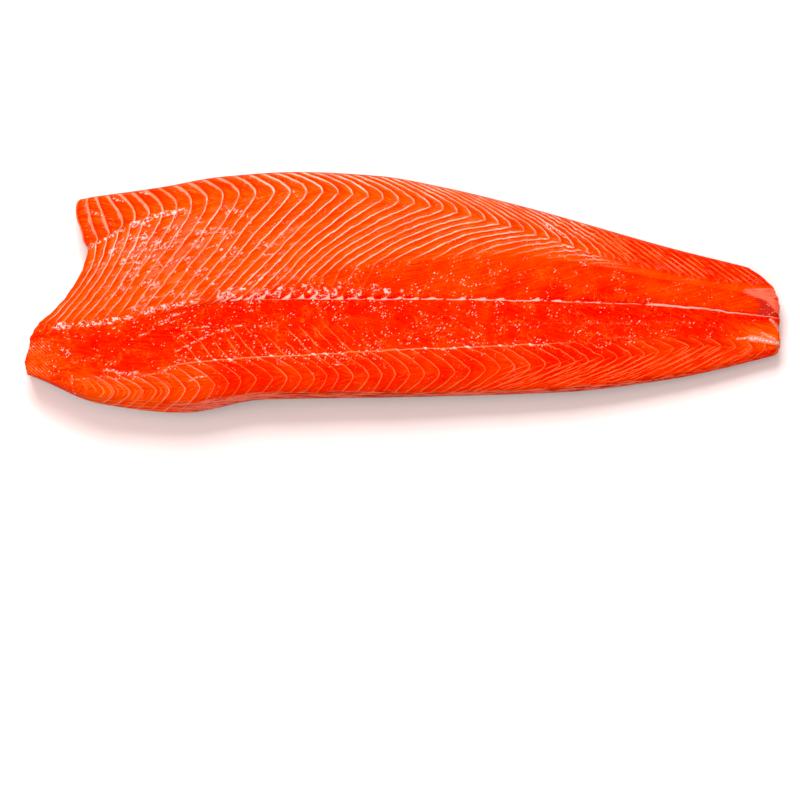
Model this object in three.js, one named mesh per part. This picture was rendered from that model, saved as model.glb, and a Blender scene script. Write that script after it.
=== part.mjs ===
// One raw salmon fillet: a whole side of the fish, lying skin down with its flesh up.
// Millimetres, +Z up. The tail points to +X and the belly to +Y; the skin rests on z = 0.
//
// The flesh is a stack of W-shaped muscle blocks. The thin walls between them, the septa, run from
// the back edge to the belly edge. A point of the fillet is given by (septum, across): septum counts
// the walls from the head cut, 0, to the tail cut, SEPTA, and across goes from 0 on the back edge to
// 1 on the belly edge.

import * as THREE from "three";

// ---- driving dimensions ----

const LENGTH = 460;
const WIDTH = 147;
const SEPTA = 50;
const SKIN_THICKNESS = 1.0;
const CLEARANCE = 0.3;
const FLESH_FLOOR = SKIN_THICKNESS + CLEARANCE; // flesh's underside above the skin's

// Seven rails run along the fillet, from the back edge to the belly edge. The septa bend where they
// cross them. Each has its place across the fillet, its route y(x) from head to tail, and the height
// of the flesh along it at CROWN_X.
const CROWN_X = [-230, -190, -120, -20, 80, 160, 230];
const RAILS = [
  {
    name: "back edge",
    across: 0,
    route: [[-218, -55], [-184, -68], [-133, -WIDTH / 2], [-86, -65.5], [-2, -64], [96, -61],
      [163, -53], [228, -38.5]],
    crown: [16, 20, 21, 19, 16, 12.5, 9],
  },
  {
    name: "back ridge",
    across: 0.12,
    route: [[-229, -50.5], [-174, -61], [-141, -60.5], [-82, -53], [-2, -50.5], [138, -39.5],
      [181, -33], [230, -34.5]],
    crown: [18, 24, 26, 24, 20, 15, 11],
  },
  {
    name: "upper edge of the spine channel",
    across: 0.25,
    route: [[-LENGTH / 2, -42.5], [-209, -48.5], [-178, -51], [-154, -49.5], [-133, -44],
      [-57, -38.5], [121, -30.5], [175, -28], [LENGTH / 2, -30]],
    crown: [18, 25, 27.5, 25, 21, 16, 12],
  },
  {
    name: "spine line",
    across: 0.45,
    route: [[-227, -27], [-178, -21.5], [-124, -9], [-86, -5], [-2, -5], [150, -8], [230, -16]],
    crown: [16, 21.5, 23, 22, 18.5, 14.5, 11],
  },
  {
    name: "ends of the ribs",
    across: 0.58,
    route: [[-222, -18.5], [-166, -13.5], [-81, 1], [-11, 17.5], [59, 21], [108, 16.5], [164, 6],
      [230, -4]],
    crown: [15, 20.5, 23.5, 23, 19, 14.5, 11],
  },
  {
    name: "belly ridge",
    across: 0.85,
    route: [[-192, 27.5], [-153, 46], [-88, 58.5], [-57, 60.5], [8, 53], [84, 33.5], [145, 14],
      [207, 4], [226, 3]],
    crown: [13, 14, 16, 17, 16.5, 14, 11],
  },
  {
    name: "belly edge",
    across: 1,
    route: [[-201, 56.5], [-148, 64], [-111, 70.5], [-63, WIDTH / 2], [-14, 71], [23, 64.5],
      [71, 53], [169, 25.5], [212, 15]],
    crown: [11, 11, 9.5, 8.5, 8.5, 9, 9],
  },
];

// Where septum SEPTUM_KEYS[i] crosses each rail, as x. Between the keys the septa are evenly spread.
const SEPTUM_KEYS = [0, 4, 8, 16, 25, 34, 42, SEPTA];
const CROSSINGS = [
  [-218, -184, -154, -82, -9, 47, 84, 228],
  [-229, -174, -141, -71, 4, 86, 156, 230],
  [-230, -188, -156, -87, -13, 68, 142, 230],
  [-227, -203, -177, -119, -46, 36, 130, 230],
  [-222, -199, -173, -111, -38, 64, 153, 230],
  [-192, -162, -127, -48, 35, 106, 171, 226],
  [-201, -173, -140, -70, -1, 65, 133, 212],
];

// Above 1, a septum leaves its ridge along the fillet and then turns across it.
const BACK_BEND = 1.5;
const BELLY_BEND = [[0, 0.5], [2, 1], [4, 2.2], [12, 1.8], [SEPTA, 1.5]];
const FLANK_BEND = [[0, 1.65], [3, 1.25], [8, 1.1], [SEPTA, 1]];

const RELIEF = 0.45; // half the height from a septum's groove to the swell between two septa
const CHANNEL_DEPTH = 2.2; // hollow where the backbone lay, between the spine line and its edge
const SPINE_GROOVE = { depth: 1.6, halfWidth: 0.013 };
const BELLY_FOLD = { depth: 3, halfWidth: 0.03, lastSeptum: 6 }; // crease under the belly flap
const RIM_DROP = 4.5; // height lost at the rounded rim of the cuts and of the belly edge
const CUT_RIM = 5; // its width at the head and tail cuts
const BELLY_RIM = 4;
const LEAST_FLESH = 1.5; // thinnest that the flesh gets, at the edges

// The back edge slopes down to the skin over BACK_SLOPE, and ends BACK_RIM above the resting plane.
const BACK_SLOPE = [[-218, 3], [-175, 5], [-132, 8], [-100, 6], [0, 4.5], [228, 3]];
const BACK_RIM = [[-218, 9.5], [-133, 10], [80, 9], [228, 6]];
const BACK_LIFT = [[-218, 5], [-133, 6], [80, 5], [228, 2.5]]; // how far the skin curls up at the back
const BACK_CURL = 0.14;
const BELLY_LIFT = 1.2;
const BELLY_CURL = 0.1;

// Mesh stations: rows along the fillet and columns across it.
const RIM_ROWS = [0.1, 0.25]; // extra rows at the head and tail cuts, in septa from the cut
const TOP_COLUMNS = [0, 0.012, 0.03, 0.06, 0.12, 0.18, 0.25, 0.32, 0.39, 0.437, 0.45, 0.463, 0.51,
  0.58, 0.65, 0.72, 0.78, 0.82, 0.85, 0.88, 0.92, 0.96, 0.985, 1];
const UNDER_ROWS = 24;
const UNDER_COLUMNS = [0, 0.03, 0.07, BACK_CURL, 0.25, 0.45, 0.58, 0.64, 0.7, 0.76, 0.82, 0.85,
  1 - BELLY_CURL, 0.95, 1];

// ---- curves ----

// A smooth curve y(x) through points, which never overshoots them.
function curve(points) {
  const last = points.length - 1;
  const gap = (i) => points[i + 1][0] - points[i][0];
  const slope = (i) => (points[i + 1][1] - points[i][1]) / gap(i);
  const tangents = points.map((_, i) => {
    if (i === 0 || i === last) return slope(Math.min(i, last - 1));
    const [before, after] = [slope(i - 1), slope(i)];
    if (before * after <= 0) return 0;
    const [left, right] = [gap(i - 1), gap(i)];
    return (3 * (left + right)) / ((left + 2 * right) / before + (2 * left + right) / after);
  });
  return (x) => {
    if (x <= points[0][0]) return points[0][1] + tangents[0] * (x - points[0][0]);
    if (x >= points[last][0]) return points[last][1] + tangents[last] * (x - points[last][0]);
    let i = 0;
    while (x > points[i + 1][0]) i += 1;
    const t = (x - points[i][0]) / gap(i);
    const s = 1 - t;
    return s * s * (1 + 2 * t) * points[i][1] + t * t * (3 - 2 * t) * points[i + 1][1]
      + gap(i) * t * s * (s * tangents[i] - t * tangents[i + 1]);
  };
}

const zipPoints = (xs, ys) => xs.map((x, i) => [x, ys[i]]);
const mix = THREE.MathUtils.lerp;
const clamp01 = (t) => THREE.MathUtils.clamp(t, 0, 1);
const bump = (distance) => Math.cos(clamp01(Math.abs(distance)) * Math.PI / 2) ** 2;

const routes = RAILS.map((rail) => curve(rail.route));
const crowns = RAILS.map((rail) => curve(zipPoints(CROWN_X, rail.crown)));
const crossings = CROSSINGS.map((xs) => curve(zipPoints(SEPTUM_KEYS, xs)));
const bellyBend = curve(BELLY_BEND);
const flankBend = curve(FLANK_BEND);
const backSlope = curve(BACK_SLOPE);
const backRim = curve(BACK_RIM);
const backLift = curve(BACK_LIFT);

// ---- from (septum, across) to the fillet's plan ----

function band(across) {
  let i = 0;
  while (i < RAILS.length - 2 && across > RAILS[i + 1].across) i += 1;
  const width = RAILS[i + 1].across - RAILS[i].across;
  return { i, t: (across - RAILS[i].across) / width };
}

// How far a septum has gone from the band's first rail to its second, for x.
const BENDS = [
  (t) => 1 - (1 - t) ** BACK_BEND,
  (t) => t ** BACK_BEND,
  (t) => t,
  (t) => t,
  (t, septum) => 1 - (1 - t) ** flankBend(septum),
  (t, septum) => t ** bellyBend(septum),
];

function planX(septum, across) {
  const { i, t } = band(across);
  return mix(crossings[i](septum), crossings[i + 1](septum), BENDS[i](t, septum));
}

function planY(x, across) {
  const { i, t } = band(across);
  return mix(routes[i](x), routes[i + 1](x), t);
}

// ---- heights ----

// Height lost at the rounded rim. The cuts and the belly edge meet in round corners.
function rimDrop(across, x, y) {
  const head = clamp01(1 - (x - planX(0, across)) / CUT_RIM);
  const tail = clamp01(1 - (planX(SEPTA, across) - x) / CUT_RIM);
  const belly = clamp01(1 - (routes[RAILS.length - 1](x) - y) / BELLY_RIM);
  const out = Math.min(1, Math.hypot(head, tail, belly));
  return RIM_DROP * (1 - Math.sqrt(1 - out * out));
}

function underside(x, across) {
  const back = clamp01(1 - across / BACK_CURL) ** 2;
  const belly = clamp01(1 - (1 - across) / BELLY_CURL) ** 2;
  return backLift(x) * back + BELLY_LIFT * belly;
}

// The septa show as grooves everywhere but beside the spine line and near the head cut's low half.
function septaRelief(septum, across) {
  const phase = Math.cos(2 * Math.PI * septum);
  const beside = clamp01(Math.min(Math.abs(across - 0.25), Math.abs(across - 0.6)) / 0.08);
  const besideSpine = across > 0.25 && across < 0.6;
  const lobe = across < 0.5 ? clamp01(septum / 8 - 0.5) : 1;
  return -RELIEF * phase * (besideSpine ? 0.35 * (1 - beside) : 1) * lobe;
}

function topHeight(septum, across, x, y) {
  const profile = curve(RAILS.map((rail, i) => [rail.across, crowns[i](x)]));
  let z = profile(across);
  z -= CHANNEL_DEPTH * bump((across - 0.35) / 0.1);
  z -= SPINE_GROOVE.depth * clamp01(1 - Math.abs(across - 0.45) / SPINE_GROOVE.halfWidth);
  const fold = clamp01(1 - septum / BELLY_FOLD.lastSeptum);
  z -= BELLY_FOLD.depth * fold * clamp01(1 - Math.abs(across - 0.85) / BELLY_FOLD.halfWidth);
  z += septaRelief(septum, across) - rimDrop(across, x, y);

  const slope = clamp01((y - routes[0](x)) / backSlope(x));
  z = mix(Math.min(z, backRim(x)), z, Math.sin(slope * Math.PI / 2));
  return Math.max(z, underside(x, across) + FLESH_FLOOR + LEAST_FLESH);
}

function topPoint(septum, across) {
  const x = planX(septum, across);
  const y = planY(x, across);
  return [x, y, topHeight(septum, across, x, y)];
}

// The underside's rows run straight from the head cut to the tail cut.
function underPoint(along, across, above) {
  const x = mix(planX(0, across), planX(SEPTA, across), along);
  return [x, planY(x, across), underside(x, across) + above];
}

// ---- closed meshes ----

class Shell {
  constructor() {
    this.positions = [];
    this.indices = [];
  }

  // Points over rows × columns, seen from above when up is true and from below when it is false.
  // Returns the grid of their vertex numbers.
  sheet(rows, columns, place, up) {
    const grid = rows.map((row) => columns.map((column) => {
      this.positions.push(...place(row, column));
      return this.positions.length / 3 - 1;
    }));
    for (let i = 1; i < rows.length; i += 1) {
      for (let j = 1; j < columns.length; j += 1) {
        const [a, b, c, d] = [grid[i - 1][j - 1], grid[i][j - 1], grid[i][j], grid[i - 1][j]];
        this.indices.push(...(up ? [a, b, c, a, c, d] : [a, c, b, a, d, c]));
      }
    }
    return grid;
  }

  // A wall between two edges that run the same way, given as [vertex, share of the way] pairs.
  wall(low, high) {
    let [i, j] = [0, 0];
    while (i < low.length - 1 || j < high.length - 1) {
      const lowNext = i < low.length - 1 ? low[i + 1][1] : Infinity;
      const highNext = j < high.length - 1 ? high[j + 1][1] : Infinity;
      if (lowNext <= highNext) {
        this.indices.push(low[i][0], low[i + 1][0], high[j][0]);
        i += 1;
      } else {
        this.indices.push(low[i][0], high[j + 1][0], high[j][0]);
        j += 1;
      }
    }
  }

  // A grid's four edges, anticlockwise from above: back, tail, belly, head. Shares of the way go by
  // x along the back and the belly, and by y along the cuts.
  edges(grid) {
    const side = (column) => grid.map((row) => row[column]);
    const belly = side(grid[0].length - 1).reverse();
    const around = [side(0), grid[grid.length - 1], belly, [...grid[0]].reverse()];
    return around.map((edge, i) => {
      const at = edge.map((vertex) => this.positions[3 * vertex + (i % 2)]);
      const [start, end] = [at[0], at[at.length - 1]];
      return edge.map((vertex, j) => [vertex, (at[j] - start) / (end - start)]);
    });
  }

  // Walls all round between two sheets, from the lower one up.
  close(lower, upper) {
    const lowEdges = this.edges(lower);
    this.edges(upper).forEach((edge, i) => this.wall(lowEdges[i], edge));
  }

  geometry() {
    const geometry = new THREE.BufferGeometry();
    geometry.setAttribute("position", new THREE.Float32BufferAttribute(this.positions, 3));
    geometry.setIndex(this.indices);
    geometry.computeVertexNormals();
    return geometry;
  }
}

const steps = (count, end) => Array.from({ length: count + 1 }, (_, i) => (end * i) / count);
const rimRows = [...RIM_ROWS, ...RIM_ROWS.map((row) => SEPTA - row)];
const topRows = [...steps(2 * SEPTA, SEPTA), ...rimRows].sort((a, b) => a - b);
const underRows = steps(UNDER_ROWS, 1);

function fleshGeometry() {
  const shell = new Shell();
  const top = shell.sheet(topRows, TOP_COLUMNS, topPoint, true);
  const floor = (along, across) => underPoint(along, across, FLESH_FLOOR);
  const bottom = shell.sheet(underRows, UNDER_COLUMNS, floor, false);
  shell.close(bottom, top);
  return shell.geometry();
}

function skinGeometry() {
  const shell = new Shell();
  const inner = (along, across) => underPoint(along, across, SKIN_THICKNESS);
  const outer = (along, across) => underPoint(along, across, 0);
  const top = shell.sheet(underRows, UNDER_COLUMNS, inner, true);
  const bottom = shell.sheet(underRows, UNDER_COLUMNS, outer, false);
  shell.close(bottom, top);
  return shell.geometry();
}

// ---- the fillet ----

function subPart(name, geometry, color, roughness) {
  const material = new THREE.MeshStandardMaterial({ color, roughness, metalness: 0 });
  const mesh = new THREE.Mesh(geometry, material);
  mesh.name = name;
  return mesh;
}

const fillet = new THREE.Group();
fillet.name = "salmon_fillet";
fillet.add(subPart("flesh", fleshGeometry(), 0xf2603a, 0.35));
fillet.add(subPart("skin", skinGeometry(), 0x868e95, 0.4));

export default fillet;
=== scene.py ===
"""A raw salmon fillet, dressed: wet flesh with its septa over a scaled skin.

Lengths are millimetres until a mesh is made, where MM turns them into metres. The tail points to +X,
the belly to +Y. A point of the fillet is given by (septum, across): septum counts the thin walls
between the muscle blocks from the head cut, 0, to the tail cut, SEPTA, and across goes from 0 on the
back edge to 1 on the belly edge.
"""

import math

import bpy
import numpy as np
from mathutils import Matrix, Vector


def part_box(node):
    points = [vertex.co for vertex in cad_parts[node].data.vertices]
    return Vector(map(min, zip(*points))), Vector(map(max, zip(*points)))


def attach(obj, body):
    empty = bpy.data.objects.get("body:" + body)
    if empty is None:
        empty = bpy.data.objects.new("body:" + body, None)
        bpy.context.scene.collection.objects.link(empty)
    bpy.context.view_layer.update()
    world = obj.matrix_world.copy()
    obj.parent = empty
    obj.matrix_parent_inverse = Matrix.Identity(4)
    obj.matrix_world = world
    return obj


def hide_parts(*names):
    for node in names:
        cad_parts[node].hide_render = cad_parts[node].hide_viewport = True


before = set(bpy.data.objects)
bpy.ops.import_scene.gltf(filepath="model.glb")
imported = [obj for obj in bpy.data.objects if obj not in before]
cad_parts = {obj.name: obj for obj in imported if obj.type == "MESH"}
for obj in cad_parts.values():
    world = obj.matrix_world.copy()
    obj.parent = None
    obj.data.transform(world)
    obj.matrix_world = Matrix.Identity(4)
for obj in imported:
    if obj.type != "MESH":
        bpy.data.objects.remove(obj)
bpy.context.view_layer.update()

MM = 0.001
FLESH_LOW, FLESH_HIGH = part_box("flesh")
LENGTH = (FLESH_HIGH.x - FLESH_LOW.x) / MM
WIDTH = 147
SEPTA = 50
SKIN_THICKNESS = 1
FLESH_FLOOR = SKIN_THICKNESS + 0.3  # the flesh's underside above the skin's

# ---- the fillet's form, as in its solids ----

# Seven rails run along the fillet, from the back edge to the belly edge: their place across it, their
# route y(x) from head to tail, and the height of the flesh along them at CROWN_X.
BACK_EDGE, BACK_RIDGE, CHANNEL_EDGE, SPINE, RIB_ENDS, BELLY_RIDGE, BELLY_EDGE = range(7)
ACROSS = (0, 0.12, 0.25, 0.45, 0.58, 0.85, 1)
ROUTES = (
    ((-218, -55), (-184, -68), (-133, -WIDTH / 2), (-86, -65.5), (-2, -64), (96, -61), (163, -53),
     (228, -38.5)),
    ((-229, -50.5), (-174, -61), (-141, -60.5), (-82, -53), (-2, -50.5), (138, -39.5), (181, -33),
     (230, -34.5)),
    ((-LENGTH / 2, -42.5), (-209, -48.5), (-178, -51), (-154, -49.5), (-133, -44), (-57, -38.5),
     (121, -30.5), (175, -28), (LENGTH / 2, -30)),
    ((-227, -27), (-178, -21.5), (-124, -9), (-86, -5), (-2, -5), (150, -8), (230, -16)),
    ((-222, -18.5), (-166, -13.5), (-81, 1), (-11, 17.5), (59, 21), (108, 16.5), (164, 6),
     (230, -4)),
    ((-192, 27.5), (-153, 46), (-88, 58.5), (-57, 60.5), (8, 53), (84, 33.5), (145, 14), (207, 4),
     (226, 3)),
    ((-201, 56.5), (-148, 64), (-111, 70.5), (-63, WIDTH / 2), (-14, 71), (23, 64.5), (71, 53),
     (169, 25.5), (212, 15)),
)
CROWN_X = (-230, -190, -120, -20, 80, 160, 230)
CROWNS = (
    (16, 20, 21, 19, 16, 12.5, 9),
    (18, 24, 26, 24, 20, 15, 11),
    (18, 25, 27.5, 25, 21, 16, 12),
    (16, 21.5, 23, 22, 18.5, 14.5, 11),
    (15, 20.5, 23.5, 23, 19, 14.5, 11),
    (13, 14, 16, 17, 16.5, 14, 11),
    (11, 11, 9.5, 8.5, 8.5, 9, 9),
)

# Where septum SEPTUM_KEYS[i] crosses each rail, as x.
SEPTUM_KEYS = (0, 4, 8, 16, 25, 34, 42, SEPTA)
CROSSINGS = (
    (-218, -184, -154, -82, -9, 47, 84, 228),
    (-229, -174, -141, -71, 4, 86, 156, 230),
    (-230, -188, -156, -87, -13, 68, 142, 230),
    (-227, -203, -177, -119, -46, 36, 130, 230),
    (-222, -199, -173, -111, -38, 64, 153, 230),
    (-192, -162, -127, -48, 35, 106, 171, 226),
    (-201, -173, -140, -70, -1, 65, 133, 212),
)
BACK_BEND = 1.5
BELLY_BEND = ((0, 0.5), (2, 1), (4, 2.2), (12, 1.8), (SEPTA, 1.5))
FLANK_BEND = ((0, 1.65), (3, 1.25), (8, 1.1), (SEPTA, 1))

CHANNEL_DEPTH = 2.2
GROOVE_DEPTH, GROOVE_HALF_WIDTH = 1.6, 0.013
FOLD_DEPTH, FOLD_HALF_WIDTH, FOLD_SEPTA = 3, 0.03, 6
RIM_DROP, CUT_RIM, BELLY_RIM = 4.5, 5, 4
LEAST_FLESH = 1.5
BACK_SLOPE = ((-218, 3), (-175, 5), (-132, 8), (-100, 6), (0, 4.5), (228, 3))
BACK_HEIGHT = ((-218, 9.5), (-133, 10), (80, 9), (228, 6))
BACK_LIFT = ((-218, 5), (-133, 6), (80, 5), (228, 2.5))
BACK_CURL = 0.14
BELLY_LIFT, BELLY_CURL = 1.2, 0.1
CORNER_DEPTH, CORNER_REACH, RAGGED_SEPTA = 3.5, 0.03, 2


def steepness(gap, slope):
    """Slopes at the knots of a curve that never overshoots them, from those between them."""
    before, after, left, right = slope[:-1], slope[1:], gap[:-1], gap[1:]
    same = before * after > 0
    before, after = np.where(same, before, 1), np.where(same, after, 1)
    inner = 3 * (left + right) / ((left + 2 * right) / before + (2 * left + right) / after)
    return np.concatenate([slope[:1], np.where(same, inner, 0), slope[-1:]])


def between(knots, steep, gap, i, t):
    """The curve's value from knot i to the next, at the share t of their gap."""
    s = 1 - t
    found = s * s * (1 + 2 * t) * knots[i] + t * t * (3 - 2 * t) * knots[i + 1]
    return found + gap[i] * t * s * (s * steep[i] - t * steep[i + 1])


def curve(points):
    """A smooth curve y(x) through points, which never overshoots them."""
    x, y = np.array(points, float).T
    gap = np.diff(x)
    steep = steepness(gap, np.diff(y) / gap)

    def at(where):
        i = np.clip(np.searchsorted(x, where) - 1, 0, len(gap) - 1)
        beyond = (where - x[i]) / gap[i]
        t = np.clip(beyond, 0, 1)
        end = np.where(beyond < 0, steep[i], steep[i + 1])
        return between(y, steep, gap, i, t) + (beyond - t) * gap[i] * end

    return at


def mix(a, b, share):
    return a + (b - a) * share


def smooth(low, high, value):
    """0 at low, 1 at high, smooth between; low may be the larger."""
    t = np.clip((value - low) / (high - low), 0, 1)
    return t * t * (3 - 2 * t)


def within(value, low, high, fade):
    return smooth(low - fade, low + fade, value) * smooth(high + fade, high - fade, value)


def near(distance, reach):
    """1 at distance 0, falling evenly to 0 at reach."""
    return np.clip(1 - distance / reach, 0, 1)


def hump(value, middle, width):
    return np.exp(-(((value - middle) / width) ** 2))


def bump(distance):
    return np.cos(np.clip(np.abs(distance), 0, 1) * math.pi / 2) ** 2


def noise(x, y, size, seed):
    """Smooth random values from -1 to 1 that change over size."""
    table = np.random.default_rng(seed).uniform(-1, 1, (256, 256))
    i, j = np.floor(x / size).astype(int), np.floor(y / size).astype(int)
    s, t = smooth(0, 1, x / size - i), smooth(0, 1, y / size - j)

    def at(a, b):
        return table[a % 256, b % 256]

    return mix(mix(at(i, j), at(i + 1, j), s), mix(at(i, j + 1), at(i + 1, j + 1), s), t)


routes = [curve(route) for route in ROUTES]
crowns = [curve(list(zip(CROWN_X, crown))) for crown in CROWNS]
crossings = [curve(list(zip(SEPTUM_KEYS, xs))) for xs in CROSSINGS]
belly_bend, flank_bend = curve(BELLY_BEND), curve(FLANK_BEND)
back_slope, back_height, back_lift = curve(BACK_SLOPE), curve(BACK_HEIGHT), curve(BACK_LIFT)

# How far a septum has gone from a band's first rail to its second, for x.
BENDS = (
    lambda t, septum: 1 - (1 - t) ** BACK_BEND,
    lambda t, septum: t**BACK_BEND,
    lambda t, septum: t,
    lambda t, septum: t,
    lambda t, septum: 1 - (1 - t) ** flank_bend(septum),
    lambda t, septum: t ** belly_bend(septum),
)


def by_band(across, value):
    """value(band, t) in each point's own band between two rails, where t is its share of the way."""
    across = np.asarray(across, float)
    found = 0
    for i in range(len(ACROSS) - 1):
        last = i == len(ACROSS) - 2
        here = (across >= ACROSS[i]) & ((across < ACROSS[i + 1]) | last)
        t = np.clip((across - ACROSS[i]) / (ACROSS[i + 1] - ACROSS[i]), 0, 1)
        found += np.where(here, value(i, t), 0)
    return found


def plan_x(septum, across):
    def value(i, t):
        return mix(crossings[i](septum), crossings[i + 1](septum), BENDS[i](t, septum))

    return by_band(across, value)


def plan_y(x, across):
    return by_band(across, lambda i, t: mix(routes[i](x), routes[i + 1](x), t))


def underside(x, across):
    """Height of the skin's underside, which curls up at both edges."""
    back = near(across, BACK_CURL) ** 2
    belly = near(1 - across, BELLY_CURL) ** 2
    return back_lift(x) * back + BELLY_LIFT * belly


def crown_height(x, across):
    """The crowns of the rails at x, joined across the fillet by a curve that doesn't overshoot."""
    z = np.stack([crown(x) for crown in crowns])
    gap = np.diff(ACROSS).reshape(-1, *[1] * x.ndim)
    steep = steepness(gap, np.diff(z, axis=0) / gap)
    return by_band(across, lambda i, t: between(z, steep, gap, i, t))


# ---- flesh: where each look is found, from (septum, across) and the plan ----

# Torn streaks and wet ones, pale partly by their own colour and partly by painted sheen and glints,
# as (x, y) of both ends and half their width.
STREAKS = (
    (-216, -32, -210, -36.5, 0.9), (-203, -29.5, -184, -24.5, 0.5),
    (-202, -43.5, -184, -39.5, 0.6), (-181, -47.5, -170, -50, 1),
    (-172, -50.5, -160, -49.5, 1.5), (-169, -31, -156, -25.5, 0.6),
    (-163, -52.5, -141, -47, 0.7), (-161, -28, -132, -12.5, 1),
    (-137, -27, -118, -22, 0.7), (-137, -37, -108, -23.5, 1),
    (-108, -23.5, -95, -20.5, 0.8), (-129, -54.5, -107, -47.5, 0.7),
    (-52, -49, -36, -44, 0.7), (83.5, 44.5, 90, 37, 0.7),
    (91, 38.5, 99, 33, 0.9), (102, 29, 105.5, 21, 0.6),
    (106.5, 17.5, 114, 16, 0.7), (202, -27.5, 213, -28.5, 0.8),
    (211, -28.5, 228, -31.8, 2.3), (218, -25.4, 226, -29, 0.9),
    (223, -16.6, 229, -23, 1.4), (-191, 48.5, -181, 47, 1.3),
    (-176, 57, -170, 54, 1), (-161, 61, -153, 58.5, 1),
    (-66, 62, -62, 55, 1.2),
)
SEAMS = ((-200, -53.5, -200, -62, 0.8), (-200, -53.5, -178, -52, 0.7))
# Spots of blood, as x, y and radius.
SPOTS = ((-161, 19, 2.6), (-200, 51.5, 2.2), (-26, -48, 0.9), (-118, 36, 1.6), (-148, -12, 2))


def streaks(marks, x, y):
    """1 in the middle of the nearest mark, 0 at its half-width from it and less beyond."""
    found = np.full(x.shape, -9.0)
    for x0, y0, x1, y1, half_width in marks:
        along = np.array([x1 - x0, y1 - y0])
        t = np.clip(((x - x0) * along[0] + (y - y0) * along[1]) / (along @ along), 0, 1)
        away = np.hypot(x - x0 - t * along[0], y - y0 - t * along[1])
        found = np.maximum(found, 1 - away / half_width)
    return found


def spots(x, y):
    """1 in a spot of blood and 0 outside it."""
    away = [(radius, np.hypot(x - x0, y - y0)) for x0, y0, radius in SPOTS]
    return np.maximum.reduce([smooth(radius, 0.4 * radius, distance) for radius, distance in away])


def waver(x, y):
    """How far the septa stray from their even course, in septa. They turn round at the belly's
    ridge, and jog where the belly folds."""
    from_fold = y - routes[BELLY_RIDGE](x)
    turn = mix(0.1, 0.28, smooth(-40, 70, x)) * hump(from_fold, 0, 2.6)
    jog = smooth(0.6, -0.6, from_fold) * smooth(-16, -3, from_fold) * smooth(-142, -162, x)
    return 0.14 * noise(x, y, 19, 1) + 0.06 * noise(x, y, 8, 2) + turn + 0.35 * jog


def line_strength(septum, across, x, y):
    """How plainly the septa show, from 0 to 1."""
    rim = np.interp(x, (-60, 0, 60, 100, 125, 150), (1, 0.85, 0.75, 0.9, 0.7, 0.3))
    rim *= smooth(0.82, 0.88, across)
    flank_end = mix(0.57, 0.6, smooth(-20, 60, x))
    flank = smooth(flank_end - 0.03, flank_end + 0.05, across) * smooth(0.87, 0.83, across)
    flank *= mix(0.95, 0.12, smooth(112, 155, x))
    flank *= mix(1, smooth(0.6, 0.8, across), 0.8 * smooth(40, 95, x))
    flank *= mix(1, 0.7, within(x, -190, -90, 25) * smooth(0.82, 0.72, across))
    ribs = within(across, 0.45, 0.57, 0.015) * smooth(5, -45, x) * 0.45
    channel = within(across, 0.25, 0.35, 0.025) * within(x, -132, -30, 8) * 0.9
    channel *= smooth(-0.8, -0.2, noise(x, y, 9, 15))
    back = smooth(0.26, 0.24, across) * smooth(3.2, 4.2, septum)
    back *= mix(0.5, 0.8, smooth(-150, -100, x))
    strength = np.maximum.reduce([rim, flank, ribs, channel, back])
    return np.clip(strength * (0.9 + 0.3 * noise(x, y, 9, 3)), 0, 1)


def line_width(across, x):
    """Full width of the pale lines, in millimetres."""
    rim = np.interp(x, (-180, -100, -40, 20, 90, 130, 160, 200),
                    (1.75, 1.3, 0.95, 0.65, 0.6, 0.75, 0.5, 0.4))
    flank = np.interp(x, (-160, -100, 100, 160), (0.5, 0.65, 0.65, 0.45))
    return mix(mix(0.5, flank, smooth(0.3, 0.6, across)), rim, smooth(0.83, 0.9, across))


def redness(across, x, y):
    """From 0, the flank's orange, to 1, the deep red beside the spine."""
    found = np.interp(across, (0, 0.1, 0.24, 0.28, 0.445, 0.46, 0.57, 0.62, 0.84, 0.88, 1),
                      (0.72, 0.8, 0.82, 1, 1, 0.78, 0.62, 0.15, 0.14, 0.38, 0.42))
    found += smooth(40, 150, x) * within(across, 0.57, 1.2, 0.03) * 0.35
    found += smooth(40, 120, x) * smooth(170, 130, x) * smooth(0.68, 0.5, across) * 0.2
    found += smooth(-105, -145, x) * smooth(0.55, 0.65, across) * 0.12
    found += smooth(110, 160, x) * smooth(0.8, 0.9, across) * 0.3
    found = mix(found, 0.25, smooth(0.27, 0.2, across) * smooth(-100, -135, x) * 0.8)
    found = mix(found, 0.75, within(across, 0, 0.43, 0.03) * smooth(-185, -212, x))
    found = mix(found, 0.15, within(across, 0.1, 0.4, 0.04) * smooth(195, 218, x))
    # Painted shade: deeper red in the channel just under the spine's ridge.
    found += within(across, 0.3, 0.43, 0.03) * within(x, -200, -60, 20) * 0.15
    found = np.maximum(found + 0.12 * noise(x, y, 22, 4) + 0.1 * noise(x, y, 8, 5), spots(x, y))
    return np.clip(found, 0, 1)


def haze_mask(across, x):
    """Where the belly's lining was pulled off, which leaves the flesh wrinkled, with painted sheen
    and painted highlights over it.
    """
    patch = within(x, -180, -62, 26) * within(across, 0.46, 0.83, 0.035)
    heart = hump(x, -158, 36) * hump(across, 0.76, 0.085)
    return patch * (0.22 + 0.78 * heart)


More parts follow.
